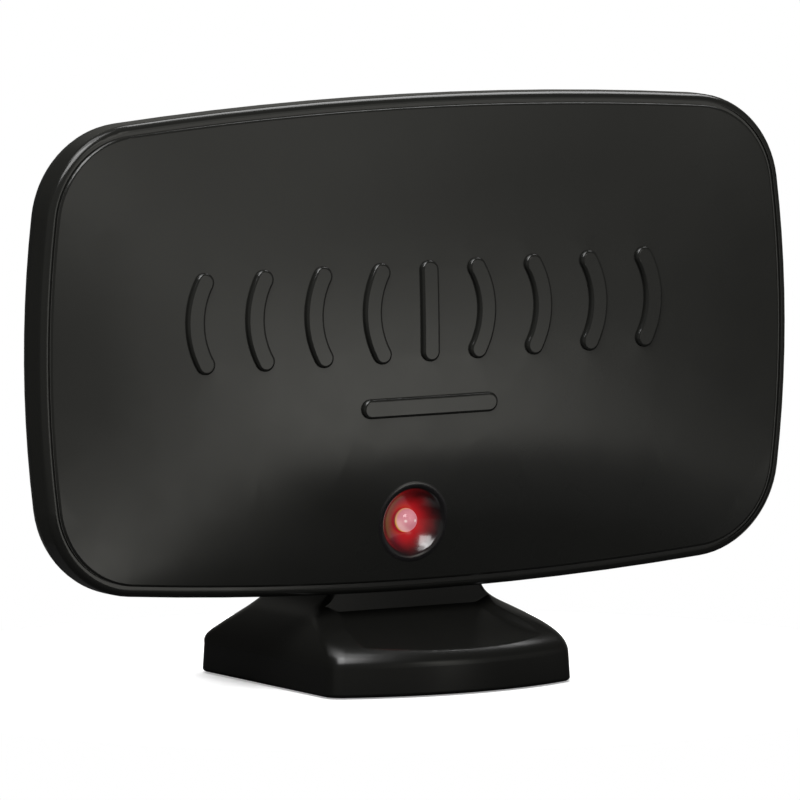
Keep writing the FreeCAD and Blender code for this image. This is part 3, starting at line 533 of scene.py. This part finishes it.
@dataclass
class Panel(Part):
    """Front and rear cover, the screws between them and the bracket."""

    finishes: dict[str, Finish] = field(default_factory=lambda: {
        "front_cover": MouldedPlastic("panel_black", (0.0155, 0.0157, 0.0142), 0.17,
                                      grain_depth=0.0008 * MM),
        "rear_cover": MouldedPlastic("back_black", (0.0125, 0.0128, 0.0118), 0.42,
                                     grain=0.5 * MM, grain_depth=0.012 * MM),
        # Darker dye than the covers: painted shade for where the bracket sits under the panel.
        "heel_bracket": MouldedPlastic("bracket_black_painted_shade", (0.0040, 0.0040, 0.0038), 0.45,
                                       grain=0.5 * MM, grain_depth=0.012 * MM),
        "cover_screws": ZINC,
        "bracket_screws": ZINC,
    })


@dataclass
class IndicatorLamp(Part):
    """Dish, lens and leads of the lamp in the face."""

    lens_radius: float = 2.8 * MM
    lens_height: float = 3.6 * MM
    lead_pitch: float = 2.54 * MM
    # Reach and sag of the painted red glow in the dish.
    painted_bloom_radius: float = 8.2 * MM
    painted_bloom_sag: float = 0.6 * MM
    dish_depth: float = 4.6 * MM
    face_lean: float = 7.07
    sides: int = 128
    wall: float = 0.5 * MM
    skirt: tuple[Pair, ...] = (
        (9.5 * MM, 0.09 * MM),
        (9.3 * MM, 0.03 * MM),
        (9.1 * MM, 0.0),
        (8.9 * MM, -0.02 * MM),
    )
    mouth_radius: float = 8.67 * MM
    lip_round: float = 1.3 * MM
    bowl_round: float = 9.2 * MM
    hole_radius: float = 2.1 * MM
    lip_rows: int = 7
    bowl_rows: int = 14
    sharp_from: float = 50.0
    centre: Vector = field(init=False)
    tip: float = field(init=False)
    finishes: dict[str, Finish] = field(init=False)

    def __post_init__(self) -> None:
        """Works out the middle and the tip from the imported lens."""
        low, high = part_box("lamp_lens")
        self.centre = (low + high) / 2
        self.tip = low.y
        self.finishes = {
            "lamp_lens": LitLens("lens_rose", self.centre, self.tip, self.lens_radius, self.lead_pitch),
            "lamp_leads": TIN,
        }

    def profile(self) -> list[Pair]:
        """Works out the bowl's rows, from the lip to the lens.

        Returns:
            Radius and depth of each row.
        """
        steep = math.asin(self.mouth_radius / (self.bowl_round + self.lip_round))
        flat = math.asin(self.hole_radius / self.bowl_round)
        high = self.skirt[-1][1]
        rows = list(self.skirt)
        for row in range(self.lip_rows):
            turn = steep * row / self.lip_rows
            rows.append((self.mouth_radius - self.lip_round * math.sin(turn),
                         high + self.lip_round * (1 - math.cos(turn))))
        edge = high + self.lip_round * (1 - math.cos(steep))
        for row in range(self.bowl_rows + 1):
            turn = steep + (flat - steep) * row / self.bowl_rows
            rows.append((self.bowl_round * math.sin(turn),
                         edge + self.bowl_round * (math.cos(turn) - math.cos(steep))))
        return rows

    def build(self) -> list[bpy.types.Object]:
        """Turns the bowl with its rounded lip and leans it with the face.

        Returns:
            The bowl.
        """
        mouth = Vector((self.centre.x, self.tip + self.lens_height - self.dish_depth, self.centre.z))
        rows = self.profile()
        deselect()
        bpy.ops.mesh.primitive_circle_add(vertices=self.sides, radius=rows[0][0], fill_type="NOTHING",
                                          rotation=(math.pi / 2, 0.0, 0.0),
                                          location=mouth + Vector((0.0, rows[0][1], 0.0)))
        bowl = bpy.context.object
        bowl.name = "lamp_bowl"
        bpy.ops.object.transform_apply(location=True, rotation=True, scale=True)
        edit(bowl)
        select_mesh()
        for (last, high), (out, deep) in zip(rows, rows[1:]):
            bpy.ops.mesh.extrude_edges_move(TRANSFORM_OT_translate={"value": (0.0, deep - high, 0.0)})
            bpy.ops.transform.resize(value=(out / last, 1.0, out / last), center_override=mouth)
        select_mesh()
        bpy.ops.transform.rotate(value=-math.radians(self.face_lean), orient_axis="X", center_override=mouth)
        bpy.ops.mesh.normals_make_consistent(inside=False)
        leave_edit()
        shell = bowl.modifiers.new("shell", "SOLIDIFY")
        shell.thickness = self.wall
        bpy.ops.object.modifier_apply(modifier=shell.name)
        smooth_faces(self.sharp_from)
        paint(bowl, PaintedGlowDish("dish_black", self.centre, self.lens_radius, self.painted_bloom_radius, self.painted_bloom_sag))
        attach(bowl, BODY)
        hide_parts("lamp_dish")
        return [bowl]


@dataclass
class Amplifier(Part):
    """Radiators, board and what is soldered to it."""

    finishes: dict[str, Finish] = field(default_factory=lambda: {
        "radiator_left": ALUMINIUM,
        "radiator_right": ALUMINIUM,
        "radiator_screws": ZINC,
        "feed_screws": ZINC,
        "board_screws": ZINC,
        "amplifier_board": BoardLacquer("board_green"),
        "shield_can": TIN,
        "amplifier_chips": MouldedPlastic("chip_black", (0.02, 0.02, 0.02), 0.5),
        "chip_parts": MouldedPlastic("chip_tan", (0.34, 0.25, 0.16), 0.55),
        "balun_core": MouldedPlastic("ferrite_grey", (0.06, 0.06, 0.065), 0.6,
                                     grain=0.3 * MM, grain_depth=0.02 * MM),
        "balun_winding": BareMetal("enamelled_copper", (0.72, 0.36, 0.18), 0.3),
    })


@dataclass
class CoaxSocket(Part):
    """The outlet at the back: threaded body, washer, nut, insulator and contact."""

    crest: float = 4.7 * MM
    root: float = 4.32 * MM
    bite: float = 0.1 * MM
    pitch: float = 0.794 * MM
    run: float = 7.7 * MM
    lead_in: float = 0.6 * MM
    steps: int = 48
    weld: float = 0.001 * MM
    end_slack: float = 0.3 * MM
    crest_slack: float = 0.02 * MM
    sharp_from: float = 35.0
    finishes: dict[str, Finish] = field(default_factory=lambda: {
        "socket_washer": NICKEL,
        "socket_nut": NICKEL,
        "socket_insulator": MouldedPlastic("insulator_white", (0.80, 0.80, 0.77), 0.4),
        "socket_contact": BareMetal("contact_brass", (0.80, 0.60, 0.28), 0.25),
    })

    def build(self) -> list[bpy.types.Object]:
        """Cuts a real thread into a copy of the body.

        Returns:
            The threaded body.
        """
        low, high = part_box("socket_body")
        end = high.y - self.lead_in
        foot = Vector((0.0, end - self.run, (low.z + high.z) / 2))
        body = self.turned_body(foot)
        ridge = self.ridge(foot)
        deselect()
        ridge.select_set(True)
        body.select_set(True)
        bpy.context.view_layer.objects.active = body
        bpy.ops.object.join()
        paint(body, NICKEL)
        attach(body, BODY)
        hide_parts("socket_body")
        return [body]

    def turned_body(self, foot: Vector) -> bpy.types.Object:
        """Copies the body and turns its free barrel down to the thread's root.

        Args:
            foot: The point on the axis where the thread starts.

        Returns:
            The copy.
        """
        body = bpy.data.objects.new("socket_body_threaded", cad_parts["socket_body"].data.copy())
        bpy.context.scene.collection.objects.link(body)
        edit(body)
        select_mesh()
        bpy.ops.mesh.remove_doubles(threshold=self.weld)
        bpy.ops.mesh.select_all(action="DESELECT")
        leave_edit()
        for vertex in body.data.vertices:
            along = vertex.co.y - foot.y
            out = Vector((vertex.co.x, 0.0, vertex.co.z - foot.z)).length
            threaded = -self.end_slack < along < self.run + self.end_slack
            vertex.select = threaded and abs(out - self.crest) < self.crest_slack
        bpy.ops.object.mode_set(mode="EDIT")
        share = self.root / self.crest
        bpy.ops.transform.resize(value=(share, 1.0, share), center_override=foot)
        leave_edit()
        smooth_faces(self.sharp_from)
        return body

    def ridge(self, foot: Vector) -> bpy.types.Object:
        """Runs a small triangle round the barrel as the ridge of the thread.

        Args:
            foot: The point on the axis where the thread starts.

        Returns:
            The ridge.
        """
        height = self.crest - self.root + self.bite
        radius = self.pitch / math.sqrt(3)
        tall = 1.5 * radius
        apex = radius * height / tall
        deselect()
        bpy.ops.mesh.primitive_circle_add(vertices=3, radius=radius, fill_type="NOTHING", location=foot,
                                          rotation=(0.0, 0.0, -math.pi / 2))
        ridge = bpy.context.object
        ridge.name = "socket_ridge"
        bpy.ops.object.transform_apply(location=False, rotation=True, scale=False)
        edit(ridge)
        select_mesh()
        bpy.ops.transform.resize(value=(height / tall, 1.0, 1.0), center_override=foot)
        bpy.ops.transform.translate(value=(self.crest - apex, self.pitch / 2, 0.0))
        leave_edit()
        coil = ridge.modifiers.new("coil", "SCREW")
        coil.axis = "Y"
        coil.steps = self.steps
        coil.render_steps = self.steps
        coil.iterations = int(self.run / self.pitch) - 1
        coil.screw_offset = self.pitch
        bpy.ops.object.modifier_apply(modifier=coil.name)
        edit(ridge)
        select_mesh()
        bpy.ops.mesh.fill_holes(sides=3)
        bpy.ops.mesh.normals_make_consistent(inside=False)
        leave_edit()
        bpy.ops.object.transform_apply(location=True, rotation=False, scale=False)
        smooth_faces(self.sharp_from)
        return ridge


@dataclass
class Stand(Part):
    """Pedestal, what closes it and what it stands on."""

    finishes: dict[str, Finish] = field(default_factory=lambda: {
        "pedestal": MouldedPlastic("pedestal_black", (0.0085, 0.0085, 0.0076), 0.26,
                                   grain_depth=0.0008 * MM),
        "stand_screws": ZINC,
        "ballast": BareMetal("raw_steel", (0.36, 0.36, 0.37), 0.5, ALONG_X),
        "bottom_plate": MouldedPlastic("bottom_black", (0.012, 0.012, 0.012), 0.5,
                                       grain=0.6 * MM, grain_depth=0.02 * MM),
        "bottom_screws": ZINC,
        "feet": MouldedPlastic("pad_rubber", (0.018, 0.018, 0.018), 0.75,
                               grain=0.5 * MM, grain_depth=0.03 * MM),
    })


# Studio

class Ray(Enum):
    """The kinds of ray that the floor and the world tell apart."""

    CAMERA = "Is Camera Ray"
    GLOSSY = "Is Glossy Ray"
    TRANSMISSION = "Is Transmission Ray"


def towards(azimuth: float, elevation: float) -> Vector:
    """The direction from the antenna to a place round it.

    Args:
        azimuth: Degrees to the right of straight ahead of the face.
        elevation: Degrees above the horizon.

    Returns:
        A unit vector.
    """
    turn = math.radians(azimuth)
    lift = math.radians(elevation)
    return Vector((math.sin(turn) * math.cos(lift), -math.cos(turn) * math.cos(lift), math.sin(lift)))


@dataclass(frozen=True)
class Softbox:
    """A square lamp that looks at the antenna. One that isn't mirrored stays out of reflections."""

    name: str
    azimuth: float
    elevation: float
    distance: float
    width: float
    height: float
    watts: float
    mirrored: bool = True

    def build(self, target: Vector) -> None:
        """Adds the lamp.

        Args:
            target: The point that it faces.
        """
        lamp = bpy.data.lights.new(self.name, "AREA")
        lamp.shape = "RECTANGLE"
        lamp.size = self.width
        lamp.size_y = self.height
        lamp.energy = self.watts
        stand = bpy.data.objects.new(self.name, lamp)
        bpy.context.scene.collection.objects.link(stand)
        away = towards(self.azimuth, self.elevation)
        stand.location = target + away * self.distance
        stand.rotation_euler = away.to_track_quat("Z", "Y").to_euler()
        stand.visible_glossy = self.mirrored


@dataclass(frozen=True)
class Surroundings:
    """What reflections find: dim walls, a bright window in front to the right, and a low patch behind.

    Steps are where a brightness starts and ends. Those in z are heights on the unit sphere, and those of the
    window's sides are places across a wall at distance one.
    """

    dark: float = 0.03
    nearest: float = 0.02
    wall: float = 0.12
    wall_ahead: Step = (0.05, 0.4)
    wall_foot: Step = (-0.262, -0.212)
    wall_top: Step = (0.2, 0.45)
    window_left: Step = (0.28, 0.42)
    left_slant: float = 0.45
    window_right: Step = (0.50, 0.80)
    right_slant: float = 0.3
    right_jog: float = 0.06
    jog_height: Step = (0.0, 0.15)
    window_top: Step = (0.30, 0.5)
    pane: float = 0.50
    upper_pane: float = 0.95
    upper_edge: Step = (0.08, 0.18)
    lower_pane: float = 1.25
    lower_edge: Step = (-0.20, 0.04)
    rear: float = 0.10
    rear_depth: Step = (0.1, 0.5)
    rear_side: Step = (-0.1, 0.25)
    rear_low: float = 0.60
    rear_low_edge: Step = (-0.30, -0.10)

    def level(self, board: NodeBoard) -> Sock:
        """Works out how bright each direction is.

        Args:
            board: The world's nodes.

        Returns:
            The brightness.
        """
        x, y, z = board.parts(board.node("ShaderNodeTexCoord", output="Generated"))
        ahead = board.sum("MAXIMUM", 0.0 - y, self.nearest)
        side = x / ahead
        front = board.smooth(ahead, *self.wall_ahead) * board.smooth(z, *self.wall_foot)
        wall = self.wall * (1 - board.smooth(z, *self.wall_top))
        right = side + self.right_slant * z + self.right_jog * board.smooth(z, *self.jog_height)
        window = board.smooth(side + self.left_slant * z, *self.window_left)
        window = window * (1 - board.smooth(right, *self.window_right))
        window = window * (1 - board.smooth(z, *self.window_top))
        pane = self.pane + self.upper_pane * board.smooth(z, *self.upper_edge)
        pane = pane + self.lower_pane * (1 - board.smooth(z, *self.lower_edge))
        behind = board.smooth(y, *self.rear_depth) * board.smooth(x, *self.rear_side)
        patch = self.rear + self.rear_low * (1 - board.smooth(z, *self.rear_low_edge))
        return self.dark + front * (wall + window * pane) + patch * behind


@dataclass
class Studio:
    """Pale floor, soft lamps, what reflections find, and the camera."""

    azimuth: float = -30.1821
    elevation: float = 6.1429
    roll: float = 0.2262
    distance: float = 3.48894
    shift_right: float = 0.0045
    shift_up: float = 0.01306
    focal_length: float = 679.1
    sensor: float = 36.0
    farthest: float = 100.0
    aim: Triple = (0.0, -0.013, 0.07935)
    floor_radius: float = 0.13
    floor_sides: int = 96
    floor_dim: Colour = (0.03, 0.03, 0.03)
    floor_shine: float = 0.33
    card_place: Pair = (0.158, -0.145)
    card_size: Pair = (0.206, 0.09)
    card_lift: float = 0.2 * MM
    card_height: float = 7 * MM
    card_grey: Colour = (0.08, 0.08, 0.08)
    ambient: float = 0.26
    wall_tint: Colour = (1.0, 0.99, 0.92)
    surroundings: Surroundings = Surroundings()
    lamps: tuple[Softbox, ...] = (
        Softbox("key_box", -37.0, 50.0, 1.3, 0.75, 0.75, 10.6),
        Softbox("top_box", 113.0, 55.0, 1.3, 0.8, 0.6, 6.6),
        Softbox("overhead_box", -62.0, 74.0, 1.3, 0.9, 0.7, 5.9),
        Softbox("rear_box", 160.0, 35.0, 1.3, 0.9, 0.9, 7.6, mirrored=False),
    )

    def target(self) -> Vector:
        """The middle of the panel's front edge plane."""
        return Vector(self.aim)

    def build(self) -> None:
        """Puts up everything round the antenna."""
        self.build_floor()
        self.build_card()
        self.build_world()
        for box in self.lamps:
            box.build(self.target())
        self.build_camera()
        bpy.context.scene.view_settings.view_transform = "Standard"

    def build_floor(self) -> None:
        """A small floor: white paper to the camera, dim to other rays, with the antenna's shadow."""
        deselect()
        bpy.ops.mesh.primitive_circle_add(vertices=self.floor_sides, radius=self.floor_radius,
                                          fill_type="NGON")
        floor = bpy.context.object
        floor.name = "floor"
        sheet = bpy.data.materials.new("floor_paper")
        sheet.use_nodes = True
        board = NodeBoard(sheet.node_tree)
        camera = board.node("ShaderNodeLightPath", output=Ray.CAMERA.value)
        shine = board.node("ShaderNodeEmission", {}, {"Strength": self.floor_shine})
        paper = board.node("ShaderNodeAddShader", {}, {0: board.diffuse(WHITE), 1: shine})
        dim = board.diffuse(self.floor_dim)
        board.close(board.node("ShaderNodeMixShader", {}, {0: camera, 1: dim, 2: paper}))
        floor.data.materials.append(sheet)

    def build_card(self) -> None:
        """A low dark block before the foot, seen only in reflections, that keeps the window out of them."""
        deselect()
        bpy.ops.mesh.primitive_plane_add(size=1.0, location=(*self.card_place, self.card_lift))
        card = bpy.context.object
        card.name = "black_card"
        edit(card)
        select_mesh()
        bpy.ops.transform.resize(value=(*self.card_size, 1.0), center_override=card.location)
        bpy.ops.mesh.extrude_region_move(TRANSFORM_OT_translate={"value": (0.0, 0.0, self.card_height)})
        leave_edit()
        bpy.ops.object.transform_apply(location=True, rotation=True, scale=True)
        velvet = bpy.data.materials.new("card_velvet")
        velvet.use_nodes = True
        board = NodeBoard(velvet.node_tree)
        board.close(board.diffuse(self.card_grey))
        card.data.materials.append(velvet)
        card.visible_camera = False
        card.visible_diffuse = False
        card.visible_shadow = False

    def build_world(self) -> None:
        """White to the camera, even light to matt surfaces, and the surroundings to reflections."""
        world = bpy.data.worlds.new("studio")
        world.use_nodes = True
        bpy.context.scene.world = world
        board = NodeBoard(world.node_tree)
        camera = board.node("ShaderNodeLightPath", output=Ray.CAMERA.value)
        outputs = camera.socket.node.outputs
        mirror = Sock(board, outputs[Ray.GLOSSY.value]) + Sock(board, outputs[Ray.TRANSMISSION.value])
        light = self.ambient * (1 - mirror) + mirror * self.surroundings.level(board)
        strength = camera + (1 - camera) * light
        tint = board.mix(mirror, WHITE, self.wall_tint)
        shade = board.node("ShaderNodeBackground", {}, {"Color": tint, "Strength": strength})
        board.close(shade, "ShaderNodeOutputWorld")

    def build_camera(self) -> None:
        """The camera of the photograph: far away, with a long lens."""
        lens = bpy.data.cameras.new("camera")
        lens.lens = self.focal_length
        lens.sensor_width = self.sensor
        lens.clip_end = self.farthest
        eye = bpy.data.objects.new("camera", lens)
        bpy.context.scene.collection.objects.link(eye)
        back = towards(self.azimuth, self.elevation)
        turn = math.radians(self.azimuth)
        right = Vector((math.cos(turn), math.sin(turn), 0.0))
        up = back.cross(right)
        tilt = math.radians(self.roll)
        across = right * math.cos(tilt) - up * math.sin(tilt)
        upright = right * math.sin(tilt) + up * math.cos(tilt)
        spot = self.target() + back * self.distance - right * self.shift_right - up * self.shift_up
        matrix = Matrix((across, upright, back)).transposed().to_4x4()
        matrix.translation = spot
        eye.matrix_world = matrix
        bpy.context.scene.camera = eye


def main() -> None:
    """Builds and dresses each sub-assembly, then the studio."""
    logging.basicConfig(level=logging.INFO)
    for part in (Panel(), IndicatorLamp(), Amplifier(), CoaxSocket(), Stand()):
        title = type(part).__name__
        for piece in part.build():
            LOG.info("%s modelled %s", title, piece.name)
        part.dress()
        for node in part.finishes:
            LOG.info("%s dressed %s", title, node)
    Studio().build()


if __name__ == "__main__":
    main()
